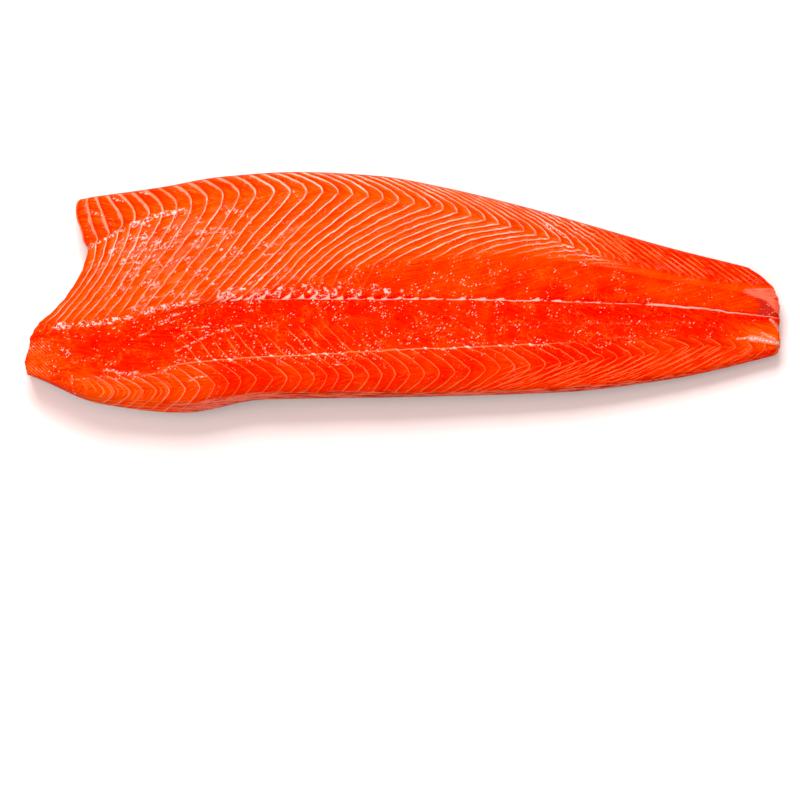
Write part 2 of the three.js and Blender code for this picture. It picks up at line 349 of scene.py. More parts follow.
def hatch(septum, across, x, y):
    """Finer lines than the septa: which line each point is at, and how plainly the lines show."""
    tip = smooth(-211, -218, x) * smooth(-27, -31, y)
    lobe = 0.8 * within(across, 0.04, 0.2, 0.03) * within(x, -192, -140, 8)
    back = 0.7 * within(across, 0.02, 0.13, 0.02) * within(x, 60, 212, 12)
    side = within(across, -1, 0.07, 0.02) * within(x, -204, -126, 6)
    belly = within(across, 0.87, 0.98, 0.02) * within(x, 125, 215, 12)
    from_back = y - routes[BACK_EDGE](x)
    from_belly = routes[BELLY_EDGE](x) - y
    zones = [belly > 0, back > 0, tip > 0.5, side > 0.5]
    lines = [(from_belly - 0.48 * x) / 3.2, (from_back - 0.33 * x) / 3.1, (0.9 * x + y) / 2,
             from_back / 1.7 - x / 30]
    return np.select(zones, lines, septum * 2.5), np.maximum.reduce([tip, lobe, back, side, belly])


def torn_mask(across, x, y):
    """Where torn lining has crumpled: above the spine line and along the belly's fold."""
    above_spine = y - routes[SPINE](x)
    ridge = hump(above_spine, 3.6, 2.6) * within(x, -216, -108, 12)
    ridge = ridge * mix(1, 0.85, smooth(-185, -165, x)) * smooth(0.3, 1.5, above_spine)
    ridge *= (0.95 + 0.4 * noise(x, y, 9, 23))
    pins = 0.64 * hump(above_spine, 6, 5) * within(x, -125, 5, 15)
    above_fold = y - routes[BELLY_RIDGE](x)
    fold = 1.2 * hump(above_fold, -1.4, 2.2) * within(x, -194, -128, 8)
    return np.maximum.reduce([ridge, pins, fold])


def relief(septum, across, x, y):
    """Height of the muscle blocks' swell, the wrinkles and the wet unevenness."""
    phase = septum + waver(x, y)
    groove = np.abs(np.cos(math.pi * (phase + 0.5)))
    swell = (groove**0.7 - 0.62) * mix(0.5, 0.9, smooth(0.5, 0.7, across))
    swell *= line_strength(septum, across, x, y)
    above_spine = y - routes[SPINE](x)
    lip = hump(above_spine, 1.6, 1.3) * within(x, -222, 140, 15)
    lip = lip * (0.9 - 0.7 * groove) * (1 + 0.6 * noise(x, y, 5, 11))
    uneven = 0.30 * noise(x, y, 16, 6) + 0.16 * noise(x, y, 6, 7)
    fine = noise(x, y, 2.6, 8) * mix(0.05, 0.24, haze_mask(across, x))
    seam = np.clip(streaks(SEAMS, x + 0.6 * noise(x, y, 5, 12), y), 0, 1)
    return swell + uneven + fine + 0.3 * lip - 0.5 * seam


def rim_drop(across, x, y):
    """How far the top falls towards the cuts and the belly edge, and how near they are, up to 1."""
    head = near(x - plan_x(0, across), CUT_RIM)
    tail = near(plan_x(SEPTA, across) - x, CUT_RIM)
    belly = near(routes[BELLY_EDGE](x) - y, BELLY_RIM)
    out = np.minimum(1, np.sqrt(head**2 + tail**2 + belly**2))
    return RIM_DROP * (1 - np.sqrt(1 - out**2)), out


def top_height(septum, across, x, y):
    """Height of the flesh's top over the floor."""
    z = crown_height(x, across)
    z -= CHANNEL_DEPTH * bump((across - 0.35) / 0.1)
    groove = near(np.abs(across - ACROSS[SPINE]), GROOVE_HALF_WIDTH)
    z -= GROOVE_DEPTH * smooth(0, 1, groove) * mix(0.2, 0.7, smooth(-80, -20, x))
    crease = near(np.abs(across - ACROSS[BELLY_RIDGE]), FOLD_HALF_WIDTH)
    z -= FOLD_DEPTH * near(septum, FOLD_SEPTA) * crease
    drop, out = rim_drop(across, x, y)
    z = z - drop + relief(septum, across, x, y) * (1 - 0.7 * out)
    slope = np.clip((y - routes[BACK_EDGE](x)) / back_slope(x), 0, 1)
    z = mix(np.minimum(z, back_height(x)), z, np.sin(slope * math.pi / 2))
    return np.maximum(z, underside(x, across) + FLESH_FLOOR + LEAST_FLESH)


# ---- meshes ----


def add_object(name, data):
    made = bpy.data.objects.new(name, data)
    bpy.context.scene.collection.objects.link(made)
    return made


def store(mesh, name, kind, values):
    """Gives each point of a mesh its own number or vector."""
    layer = mesh.attributes.new(name, kind, "POINT")
    field = "vector" if kind == "FLOAT_VECTOR" else "value"
    layer.data.foreach_set(field, np.ravel(values).astype(np.float32))


class Shell:
    """Points and faces of one closed piece, in millimetres, with a number of each kind per point."""

    def __init__(self):
        self.points, self.faces, self.values = [], [], {}
        self.count = 0

    def add(self, points, **values):
        """Adds a grid or row of points and returns their indices in the same shape."""
        shape = points.shape[:-1]
        size = int(np.prod(shape))
        self.points.append(points.reshape(-1, 3))
        for name, value in values.items():
            rows = self.values.setdefault(name, [])
            rows.append(np.broadcast_to(value, shape).ravel())
        index = np.arange(self.count, self.count + size).reshape(shape)
        self.count += size
        return index

    def sheet(self, index, up):
        """Quads over a grid of rows along the fillet and columns across it."""
        a, b, c, d = index[:-1, :-1], index[1:, :-1], index[1:, 1:], index[:-1, 1:]
        around = (a, b, c, d) if up else (a, d, c, b)
        self.faces += np.stack(around, -1).reshape(-1, 4).tolist()

    def ring(self, low, high):
        """Quads between two closed loops that run anticlockwise from above."""
        around = (low, np.roll(low, -1), np.roll(high, -1), high)
        self.faces += np.stack(around, -1).tolist()

    def zip(self, low, low_at, high, high_at):
        """Triangles between two open edges, whose points lie at these shares of the way."""
        low_at, high_at = np.append(low_at, math.inf), np.append(high_at, math.inf)
        i = j = 0
        while i < len(low) - 1 or j < len(high) - 1:
            on_low = low_at[i + 1] <= high_at[j + 1]
            corner = low[i + 1] if on_low else high[j + 1]
            self.faces.append([int(low[i]), int(corner), int(high[j])])
            i, j = (i + 1, j) if on_low else (i, j + 1)

    def build(self, name, material):
        mesh = bpy.data.meshes.new(name)
        points = np.concatenate(self.points) * MM
        mesh.from_pydata(points.tolist(), [], self.faces)
        for key, rows in self.values.items():
            store(mesh, key, "FLOAT", np.concatenate(rows))
        mesh.polygons.foreach_set("use_smooth", [True] * len(mesh.polygons))
        mesh.materials.append(material)
        mesh.update()
        return add_object(name, mesh)


def loop_of(grid):
    """A grid's outer points, anticlockwise from above: back, tail, belly, head."""
    return np.concatenate([grid[:-1, 0], grid[-1, :-1], grid[:0:-1, -1], grid[0, :0:-1]])


def sides_of(loop, rows, columns):
    """A loop of rows × columns cut into its four sides, each with both its corners."""
    ends = np.cumsum([0, rows - 1, columns - 1, rows - 1, columns - 1])
    closed = np.append(loop, loop[0])
    return [closed[ends[i]:ends[i + 1] + 1] for i in range(4)]


def ragged_cut(septum, across, x):
    """How far points near the cuts move along X, as the cuts are ragged and the belly's corner is
    rounded."""
    ragged = 1 + 0.6 * noise(across * WIDTH, across, 7, 13) + 0.3 * noise(across * WIDTH, x, 3, 14)
    corner = CORNER_DEPTH * (1 - np.sqrt(1 - near(1 - across, CORNER_REACH) ** 2))
    head, tail = near(septum, RAGGED_SEPTA), near(SEPTA - septum, RAGGED_SEPTA)
    return (ragged + corner) * head - ragged * tail


def under_sheet(rows, columns, above):
    """Points of the underside, where rows run straight from the head cut to the tail cut."""
    along, across = np.meshgrid(rows, columns, indexing="ij")
    x = mix(plan_x(0, across), plan_x(SEPTA, across), along)
    y = plan_y(x, across)
    x += ragged_cut(along * SEPTA, across, x)
    return np.stack([x, y, underside(x, across) + above], -1), along, across


def spread(counts, knots):
    """Stations from the first knot to the last, with counts[i] steps between knots i and i + 1."""
    parts = [np.linspace(a, b, n + 1)[:-1] for a, b, n in zip(knots, knots[1:], counts)]
    return np.append(np.concatenate(parts), knots[-1])


TOP_ROWS = spread((6, 2, 480, 2, 6), (0, 0.4, 0.5, SEPTA - 0.5, SEPTA - 0.4, SEPTA))
TOP_COLUMNS = spread(
    (10, 8, 12, 18, 4, 16, 46, 12, 8), (0, 0.045, 0.12, 0.25, 0.435, 0.465, 0.58, 0.85, 0.96, 1)
)
UNDER_COLUMNS = spread((5, 4, 8, 10, 3, 3), (0, BACK_CURL, 0.3, 0.58, 0.85, 0.93, 1))
UNDER_ROWS = np.linspace(0, 1, 61)
WALL_RINGS = 8
MOST_SLANT = 15
FLOOR_PITCH = 8  # stands for the pitch on the flesh's underside


def grain_of(points):
    """How the muscle's grain runs over the grid of TOP_ROWS × TOP_COLUMNS. pitch is the distance from
    septum to septum, square to them. course is the distance along a septum from the spine line, and
    slant is how much it changes from one septum to the next along fibres square to them."""
    plan = points[..., :2]
    along, across = np.gradient(plan, TOP_ROWS, axis=0), np.gradient(plan, TOP_COLUMNS, axis=1)
    area = np.abs(along[..., 0] * across[..., 1] - along[..., 1] * across[..., 0])
    reach = np.maximum(np.linalg.norm(across, axis=-1), 1e-6)
    step = np.linalg.norm(np.diff(plan, axis=1), axis=-1)
    course = np.concatenate([np.zeros((len(points), 1)), np.cumsum(step, axis=1)], axis=1)
    course -= course[:, [np.argmin(np.abs(TOP_COLUMNS - ACROSS[SPINE]))]]
    slant = (along * across).sum(-1) / reach - np.gradient(course, TOP_ROWS, axis=0)
    return {"pitch": area / reach, "course": course,
            "slant": np.clip(slant, -MOST_SLANT, MOST_SLANT)}


def looks(septum, across, x, y, depth):
    """What the flesh's finish reads at each point. depth goes from 0 on top to 1 at the skin."""
    slope = 1 - np.clip((y - routes[BACK_EDGE](x)) / back_slope(x), 0, 1)
    side_fat = smooth(0.15, 0.45, slope + 0.2 * noise(x, y, 6, 20)) * smooth(-150, -126, x)
    side_fat *= mix(1, 0.3, smooth(145, 185, x))
    pale_side = smooth(0.2, 0.4, slope) * within(x, -126, -82, 8)
    belly_fat = smooth(1.6, 0.4, routes[BELLY_EDGE](x) - y + 0.5 * noise(x, y, 9, 21))
    torn = noise(x, 3 * y, 12, 22)
    bent_x, bent_y = x + 1.2 * noise(x, y, 7, 24), y + 1.4 * noise(x, y, 7, 25)
    fat_end = np.interp(x, (205, 214, 221, 230), (0.5, -3.7, -5.6, -15)) + 0.7 * torn
    tail_fat = smooth(204, 209, x + 3 * torn) * within(y, fat_end, 2.2, 0.5)
    tail_dark = smooth(213.5, 217, x + 2 * torn) * within(y, routes[SPINE](x) + 1, fat_end, 0.5)
    channel = within(across, 0.2, 0.57, 0.04)
    crumbs = 0.8 * within(x, 78, 132, 14) * within(across, 0.63, 0.85, 0.05)
    wet = np.maximum(crumbs, channel * mix(1, 0.5, smooth(120, 210, x)))
    hatch_at, hatched = hatch(septum, across, x, y)
    return {
        "septum": septum + waver(x, y),
        "strength": line_strength(septum, across, x, y) * (1 - depth),
        "line_width": line_width(across, x),
        "red": redness(across, x, y),
        "fat": np.maximum(side_fat, mix(0.7, 0.3, smooth(40, 130, x)) * belly_fat),
        "pale": np.maximum(pale_side, tail_fat),
        "dark": tail_dark,
        "haze": haze_mask(across, x),
        "hatch_at": hatch_at,
        "hatched": hatched * (1 - depth),
        "torn": torn_mask(across, x, y),
        "wet": np.maximum(0.15, wet),
        "spine": y - routes[SPINE](x),
        "dorsal": y - routes[CHANNEL_EDGE](x),
        "streak": np.maximum(streaks(STREAKS, bent_x, bent_y), 0.8 * streaks(SEAMS, bent_x, y)),
        "depth": depth,
    }


def make_flesh(material):
    shell = Shell()
    septum, across = np.meshgrid(TOP_ROWS, TOP_COLUMNS, indexing="ij")
    x = plan_x(septum, across)
    y = plan_y(x, across)
    x += ragged_cut(septum, across, x)
    points = np.stack([x, y, top_height(septum, across, x, y)], -1)
    grain = grain_of(points)
    top = shell.add(points, **grain, **looks(septum, across, x, y, 0))
    shell.sheet(top, up=True)

    edge = loop_of(points)
    edge_septum, edge_across = loop_of(septum), loop_of(across)
    edge_grain = {name: loop_of(value) for name, value in grain.items()}
    x, y, high = edge.T
    low = underside(x, edge_across) + FLESH_FLOOR
    ahead = np.roll(edge, -1, axis=0) - np.roll(edge, 1, axis=0)
    inward = np.stack([-ahead[:, 1], ahead[:, 0]], -1)
    inward /= np.maximum(np.linalg.norm(inward, axis=-1, keepdims=True), 1e-9)
    ring = loop_of(top)
    for depth in np.linspace(0, 1, WALL_RINGS + 1)[1:]:
        z = mix(high, low, depth)
        dent = (0.25 + 0.25 * noise(x + y, z, 4, 30)) * np.sin(math.pi * depth)
        dent *= np.minimum(1, (high - low) / 6)
        plan = edge[:, :2] + inward * dent[:, None]
        wall = np.column_stack([plan, z])
        values = looks(edge_septum, edge_across, x, y, depth)
        below = shell.add(wall, **edge_grain, **values)
        shell.ring(below, ring)
        ring = below

    points, along, across = under_sheet(UNDER_ROWS, UNDER_COLUMNS, FLESH_FLOOR)
    x, y = points[..., 0], points[..., 1]
    values = looks(along * SEPTA, across, x, y, 1)
    floor = shell.add(points, pitch=FLOOR_PITCH, course=y, slant=0, **values)
    shell.sheet(floor, up=False)
    close_up(shell, floor, ring, len(TOP_ROWS), len(TOP_COLUMNS))
    return shell.build("fillet_flesh", material)


def close_up(shell, floor, ring, rows, columns):
    """Joins the wall's lowest ring to the floor's edge, by place along each side."""
    place = np.concatenate(shell.points)

    def shares(edge, axis):
        along = place[edge, axis]
        return np.maximum.accumulate((along - along[0]) / (along[-1] - along[0]))

    low_sides = sides_of(loop_of(floor), *floor.shape)
    for side, (low, high) in enumerate(zip(low_sides, sides_of(ring, rows, columns))):
        shell.zip(low, shares(low, side % 2), high, shares(high, side % 2))


# ---- finishes ----


LIGHT_LEVEL = 1.13  # how much brighter than white paper's own colour the lights show it


def seen(red, green, blue):
    """A base colour that shows as these screen values, from 0 to 255, under the lights here."""
    def linear(value):
        value /= 255
        return value / 12.92 if value <= 0.04045 else ((value + 0.055) / 1.055) ** 2.4

    return (*(linear(value) / LIGHT_LEVEL for value in (red, green, blue)), 1.0)


MUSCLE_ORANGE, MUSCLE_RED = seen(255, 86, 6), seen(255, 24, 0)
FIBRE_PALE, FIBRE_DARK = seen(255, 122, 52), seen(236, 30, 0)
# The first is a painted sheen for the wrinkled flesh.
PAINTED_SHEEN, BLOT = seen(255, 134, 98), seen(255, 104, 50)
SEPTUM_EDGE, SEPTUM_CORE, SEPTUM_THIN = seen(255, 150, 124), seen(255, 222, 200), seen(255, 114, 50)
# Painted shade and painted light beside the septa, and the fine hatch lines.
SEPTUM_PAINTED_SHADE, SEPTUM_PAINTED_LIGHT, HATCH = seen(238, 34, 0), seen(255, 128, 84), seen(255, 144, 84)
# The spine line's pale, the painted shade between its peaks, and the dorsal ridge's pale.
SPINE_PALE, SPINE_PAINTED_SHADE, RIDGE_PALE = seen(255, 198, 182), seen(240, 22, 0), seen(255, 150, 104)
SIDE_RED, SIDE_FAT = seen(176, 30, 4), seen(255, 126, 96)
TAIL_FAT, TAIL_DARK = seen(255, 126, 102), seen(194, 46, 38)
# White of the painted highlights.
GLINT_WHITE = seen(255, 228, 220)
# The skin's colours on the back, the side and the belly: its scales, and the dark between them.
SILVER = seen(104, 112, 121), seen(172, 184, 196), seen(226, 230, 234)
DARK = seen(13, 14, 17), seen(44, 48, 55), seen(150, 156, 163)
SCALE_TINT = seen(196, 172, 172)


def add_node(tree, kind, settings, inputs):
    """Adds a node: its settings first, then its sockets' values or links."""
    node = tree.nodes.new(kind)
    for name, value in settings.items():
        setattr(node, name, value)
    for name, value in inputs.items():
        if isinstance(value, bpy.types.NodeSocket):
            tree.links.new(value, node.inputs[name])
        else:
            node.inputs[name].default_value = value
    return node


class Value:
    """A number in a material's nodes. Python arithmetic on it adds Math nodes."""

    def __init__(self, finish, socket):
        self.finish, self.socket = finish, socket

    def math(self, operation, *others):
        return self.finish.node("ShaderNodeMath", {"operation": operation}, [self, *others])

    def __add__(self, other):
        return self.math("ADD", other)

    __radd__ = __add__

    def __mul__(self, other):
        return self.math("MULTIPLY", other)

    __rmul__ = __mul__

    def __sub__(self, other):
        return self.math("SUBTRACT", other)

    def __rsub__(self, other):
        return self.finish.node("ShaderNodeMath", {"operation": "SUBTRACT"}, [other, self])

    def __truediv__(self, other):
        return self.math("DIVIDE", other)

    def __pow__(self, other):
        return self.math("POWER", other)

    def __abs__(self):
        return self.math("ABSOLUTE")

    def least(self, other):
        return self.math("MINIMUM", other)

    def most(self, other):
        return self.math("MAXIMUM", other)

    def fraction(self):
        return self.math("FRACT")

    def smooth(self, low, high):
        """0 at low and 1 at high, smooth between."""
        inputs = {"Value": self, "From Min": low, "From Max": high}
        return self.finish.node("ShaderNodeMapRange", {"interpolation_type": "SMOOTHSTEP"}, inputs)

    def fade(self, low, high):
        """1 at low and 0 at high, smooth between."""
        return 1 - self.smooth(low, high)


MIX_SHARE, MIX_FIRST, MIX_SECOND, MIX_RESULT = 0, 6, 7, 2  # a Mix node's sockets for colours


class Finish:
    """A material and the nodes that it is made of."""

    def __init__(self, name):
        self.material = bpy.data.materials.new(name)
        self.material.use_nodes = True
        self.tree = self.material.node_tree
        self.tree.nodes.clear()

    def node(self, kind, settings=None, inputs=(), output=0):
        """Adds a node, whose inputs may be Values, and returns one of its outputs."""
        pairs = inputs.items() if isinstance(inputs, dict) else enumerate(inputs)
        plain = {name: value.socket if isinstance(value, Value) else value for name, value in pairs}
        node = add_node(self.tree, kind, settings or {}, plain)
        return Value(self, node.outputs[output]) if node.outputs else node

    def attribute(self, name):
        return self.node("ShaderNodeAttribute", {"attribute_name": name}, output="Fac")

    def places(self):
        """Object coordinates in millimetres."""
        place = self.node("ShaderNodeTexCoord", output="Object")
        return self.stretched(place, (1 / MM, 1 / MM, 1 / MM))

    def stretched(self, vector, scale):
        settings = {"operation": "MULTIPLY"}
        return self.node("ShaderNodeVectorMath", settings, [vector, scale])

    def vector(self, x, y, z):
        return self.node("ShaderNodeCombineXYZ", inputs=[x, y, z])

    def part(self, vector, axis):
        return self.node("ShaderNodeSeparateXYZ", inputs=[vector], output=axis)

    def noise(self, vector, size, detail=2, roughness=0.5, distortion=0):
        """Noise from 0 to 1 whose features are about size across, in the vector's units."""
        inputs = {"Vector": vector, "Scale": 1 / size, "Detail": detail, "Roughness": roughness,
                  "Distortion": distortion}
        return self.node("ShaderNodeTexNoise", inputs=inputs, output="Fac")

    def cells(self, vector, size):
        """Distance to the nearest of random points that lie about size apart, in sizes."""
        inputs = {"Vector": vector, "Scale": 1 / size}
        return self.node("ShaderNodeTexVoronoi", {}, inputs, output="Distance")

    def mix(self, first, second, share):
        """The colour that is first at share 0 and second at share 1."""
        inputs = {MIX_SHARE: share, MIX_FIRST: first, MIX_SECOND: second}
        return self.node("ShaderNodeMix", {"data_type": "RGBA"}, inputs, MIX_RESULT)

    def bump(self, height, distance, strength):
        """A surface that looks raised by height times distance, in millimetres."""
        inputs = {"Height": height, "Distance": distance * MM, "Strength": strength}
        return self.node("ShaderNodeBump", inputs=inputs)

    def surface(self, **sockets):
        """Ends the material in one Principled shader. Its sockets' names have _ for spaces."""
        inputs = {name.replace("_", " "): value for name, value in sockets.items()}
        shader = self.node("ShaderNodeBsdfPrincipled", inputs=inputs)
        self.node("ShaderNodeOutputMaterial", inputs={"Surface": shader})
        return self.material


def near_septa(f, place, look):
    """Distance from the nearest septum in millimetres, the same with a sign, above 0 tailwards, and
    coordinates of the fibres, which run square to the septa and break at each."""
    x = f.part(place, 0)
    wrinkled = x.smooth(75, 100) * x.fade(140, 165)
    shiver = (f.noise(place, 6, 4, 0.6) - 0.5) * (1.6 + wrinkled * 1.6 + look["wet"] * 1.6)
    pitch = look["pitch"]
    phase = look["septum"] + shiver / pitch
    signed = ((phase + 0.5).fraction() - 0.5) * pitch
    share = phase.fraction()
    beside = look["course"] - (share - 0.5) * look["slant"]
    fibres = f.vector(share, beside, (phase - share) * 5.7)
    return abs(signed), signed, fibres


def muscle_colour(f, place, look, fibres):
    """Orange to red flesh, with fibres that run from septum to septum, and a painted sheen where the
    belly's lining was pulled off.
    """
    mottle = f.noise(place, 14, 3, 0.6)
    deepen = (look["red"] + (mottle - 0.5) * 0.9).most(0).least(1)
    colour = f.mix(MUSCLE_ORANGE, MUSCLE_RED, deepen)
    grain = f.noise(f.stretched(fibres, (0.9, 1.9, 1)), 1, 1, 0.6)
    pale = grain.smooth(0.5, 0.6) * (1 - look["red"] * 0.8) * 0.5
    colour = f.mix(colour, FIBRE_PALE, pale)
    colour = f.mix(colour, FIBRE_DARK, grain.smooth(0.5, 0.4) * 0.5)
    # Painted sheen: a pale gloss in patches along the septa, where the lining was pulled off.
    sheen = f.noise(f.vector(look["septum"] * 0.9, look["course"] * 0.16, 5), 1, 2)
    sheen = sheen.smooth(0.46, 0.6) * look["haze"].smooth(0.1, 0.7)
    colour = f.mix(colour, PAINTED_SHEEN, sheen * 0.3)
    blots = abs(f.noise(place, 4.5, 1, 0.5, 1.2) - 0.5).fade(0.01, 0.05)
    blots = blots * f.noise(place, 8, 1).smooth(0.42, 0.58) * look["wet"]
    return f.mix(colour, BLOT, blots * 0.45), grain


def with_septa(f, place, look, colour, off, signed):
    """The pale lines of the septa over the muscle's colour, with painted shade, a deeper red, just
    tailwards of each and painted light, a paler orange, just headwards of it, for the blocks' swell.
    """
    strength, width = look["strength"], look["line_width"]
    strength *= look["pitch"].smooth(0.5, 2.2)
    half = width * (0.34 + 0.28 * f.noise(place, 6, 1).smooth(0.3, 0.7))
    # Painted shade: deeper red just tailwards of each septum.
    painted_shade = (signed - half).smooth(0, 0.35) * signed.fade(0.9, 3.8)
    colour = f.mix(colour, SEPTUM_PAINTED_SHADE, painted_shade * strength * 0.65)
    # Painted light: paler orange just headwards of each septum.
    before = signed.smooth(-2.4, -0.3) * signed.fade(-0.3, 0.1)
    colour = f.mix(colour, SEPTUM_PAINTED_LIGHT, before * strength * (1 - look["red"]) * 0.3)
    line = (off - half).fade(-0.24, 0.22) * strength
    core = off.fade(0, 0.5) * strength * width.fade(0.9, 1.5)
    line_colour = f.mix(SEPTUM_EDGE, SEPTUM_CORE, core)
    x = f.part(place, 0)
    thin = look["red"].smooth(0.35, 0.8).most(x.smooth(105, 150))
    line_colour = f.mix(line_colour, SEPTUM_THIN, thin * 0.9)
    colour = f.mix(colour, line_colour, line)
    fine = abs(look["hatch_at"].fraction() - 0.5).fade(0.04, 0.16)
    fine = fine * look["hatched"] * f.noise(place, 9, 1).smooth(0.3, 0.6)
    return f.mix(colour, HATCH, fine * 0.75), line


def spine_marks(f, place, look, off):
    """The pale line above the channel, which rises to a torn peak at each septum, and painted shade,
    a deeper red, between its peaks."""
    x = f.part(place, 0)
    rough = f.noise(place, 2, 1) - 0.5
    above = look["spine"] + (f.noise(place, 8, 2) - 0.5) * 1.8
    close = (1 - off / (look["pitch"] * 0.42)).most(0)
    height = 4.4 - x.smooth(-90, -10) * 2.9
    peak = close ** 1.8 * (height + rough * 5) * f.noise(place, 10, 0).smooth(0.36, 0.44)
    peak = peak * x.smooth(-150, -125) * (1 - x.smooth(90, 120) * 0.7) * x.fade(140, 146)
    plain = x.smooth(146, 152)
    half = 0.1 + x.smooth(-30, 10) * x.fade(70, 110) * 0.12 + plain * 0.45
    half -= plain * x.smooth(150, 225) * 0.35
    body = (above + half).smooth(-0.1, 0.2) * (above - peak - half).fade(-0.1, 0.35)
    breaks = f.noise(place, 4, 1).smooth(0.36, 0.46) * x.smooth(-95, -55)
    breaks = breaks.most(plain).most(peak.smooth(0.3, 0.6))
    # Painted shade: deeper red just above the line between the peaks.
    hollow_shade = (off / look["pitch"]).smooth(0.2, 0.36) * (above - half).smooth(0, 0.5)
    hollow_shade *= (above + rough * 3).fade(2.2, 3.8)
    hollow_shade = hollow_shade * x.smooth(-125, -105) * x.fade(-10, 50)
    return body * breaks * x.smooth(-120, -98), hollow_shade


def dorsal_ridge(f, place, look, off):
    """The pale line below the channel, and the painted glints on it where the septa end."""
    x = f.part(place, 0)
    away = abs(look["dorsal"] + (f.noise(place, 9, 3) - 0.5) * 2.6)
    reach = x.smooth(-150, -130) * x.fade(60, 120)
    # Painted highlights on the ridge where the septa end.
    glints = away.fade(0.4, 1) * off.fade(0.3, 0.9) * reach
    glints *= f.noise(place, 5, 1).smooth(0.5, 0.58)
    return away.fade(0.1, 0.5) * reach, glints


def wet_glints(f, place, look, off):
    """Painted highlights of wet flesh: white dots and slanted dashes, and white bits along the torn
    streaks.
    """
    x, y = f.part(place, 0), f.part(place, 1)
    patches = f.noise(place, 9, 1)
    in_rows = off.fade(0.5, 1.8).most(look["spine"].fade(-1, 1))
    dots = f.cells(place, 2).fade(0.1, 0.18)
    rarer = x.smooth(30, 110) * 0.05 + x.smooth(-110, -160) * 0.05 + 0.01
    dots = dots * (f.noise(place, 6, 1) - rarer).smooth(0.51, 0.55) * in_rows
    slanted = f.vector(x * 0.8 + y * 0.6, (y * 0.8 - x * 0.6) * 2.2, 0)
    dashes = f.cells(slanted, 2.7).fade(0.15, 0.26)
    dashes *= (patches - rarer).smooth(0.49, 0.55)
    rips = f.noise(slanted, 1.7, 1) + (look["streak"] * 0.26 - 0.71).most(-1)
    return (dots.most(dashes) * look["wet"]).most(rips.smooth(0, 0.07))


def torn_highlights(f, place, look, fibres):
    """Painted highlights on the wrinkles where the belly's lining was pulled off, and white flecks on
    crumples of torn lining, partly the lining's own pale colour and partly painted glints.
    """
    septum, course, haze = look["septum"], look["course"], look["haze"]
    patches = f.noise(f.vector(septum * 0.7, course * 0.14, 9), 1, 1)
    heart = haze.smooth(0.5, 0.85)
    gate = (patches + heart * 0.06 + haze * 0.06).smooth(0.54, 0.59)
    bars = f.cells(f.stretched(fibres, (1.4, 0.8, 1)), 1).fade(0.15, 0.28)
    strips = f.cells(f.vector(septum * 4.2, course * 0.22, 7), 1).fade(0.17, 0.32)
    hairs = abs(f.noise(place, 4, 0.5, 0.5, 0.7) - 0.5).fade(0.01, 0.04)
    hairs *= f.noise(place, 5, 1).smooth(0.5, 0.56)
    wrinkles = bars.most(strips).most(hairs * 0.9) * gate * haze.smooth(0.05, 0.3)

    folds = abs(f.noise(place, 4, 0, 0.5, 1.2) - 0.5).fade(0.02, 0.05)
    flecks = f.noise(place, 2.6, 0).smooth(0.62, 0.66)
    strokes = f.cells(f.vector(septum * 3, course * 0.45, 1), 1).fade(0.2, 0.34)
    torn = (look["torn"] * 1.2 + f.noise(place, 6, 1) * 2.4 - 1.95).smooth(0, 0.25)
    return wrinkles.most(folds.most(flecks).most(strokes) * torn)


def fat_colour(f, place, look, colour):
    """Fat and torn skin edges along the side, and the dark flesh at the tail."""
    streaked = f.noise(f.stretched(place, (0.07, 0.8, 0.9)), 1, 3, 0.6)
    fat = f.mix(SIDE_RED, SIDE_FAT, streaked.smooth(0.42, 0.56))
    colour = f.mix(colour, fat, look["fat"] * 0.85)
    colour = f.mix(colour, TAIL_FAT, look["pale"] * streaked.smooth(0.34, 0.5) * 0.75)
    return f.mix(colour, TAIL_DARK, look["dark"] * 0.85)


FLESH_LOOKS = ("septum", "pitch", "course", "slant", "strength", "line_width", "red", "fat", "pale",
               "dark", "haze", "hatch_at", "hatched", "torn", "wet", "spine", "dorsal", "streak",
               "depth")


def flesh_finish():
    f = Finish("salmon_flesh")
    place = f.places()
    look = {name: f.attribute(name) for name in FLESH_LOOKS}
    off, signed, fibres = near_septa(f, place, look)
    colour, grain = muscle_colour(f, place, look, fibres)
    colour, line = with_septa(f, place, look, colour, off, signed)
    colour = fat_colour(f, place, look, colour)
    ridge, glints = dorsal_ridge(f, place, look, off)
    colour = f.mix(colour, RIDGE_PALE, ridge * 0.75)
    on_spine, hollow_shade = spine_marks(f, place, look, off)
    colour = f.mix(colour, SPINE_PAINTED_SHADE, hollow_shade * 0.7)
    colour = f.mix(colour, SPINE_PALE, on_spine * 0.9)
    # Pink along the streaks: torn tissue's own colour, and painted sheen on the wet ones.
    broken = f.noise(place, 2.4, 1).smooth(0.46, 0.6).most(f.part(place, 0).smooth(190, 200))
    colour = f.mix(colour, SEPTUM_EDGE, look["streak"].smooth(0, 0.5) * broken * 0.7)
    # Painted highlights in white: glints on wet flesh, its wrinkles and the dorsal ridge; on crumpled
    # lining they are partly its own pale colour.
    marks = wet_glints(f, place, look, off).most(torn_highlights(f, place, look, fibres) * 0.8)
    marks = marks.most(glints)
    colour = f.mix(colour, GLINT_WHITE, marks * 0.9)

    ripple = f.noise(place, 2.8, 1) * (0.3 + 0.8 * look["wet"] + 1.2 * look["haze"] + look["torn"])
    height = grain * 0.15 + line * 0.2 + marks * 0.4 + ripple + on_spine * 0.5 + ridge * 0.3
    return f.surface(
        Base_Color=colour,
        Roughness=0.06 + 0.08 * f.noise(place, 9, 1) + 0.2 * look["depth"],
        IOR=1.38,
        Subsurface_Weight=0.15,
        Subsurface_Radius=(1, 0.25, 0.08),
        Subsurface_Scale=0.003,
        Coat_Weight=0.2,
        Coat_Roughness=0.04,
        Normal=f.bump(height, 0.5, 1),
    )


# ---- skin ----

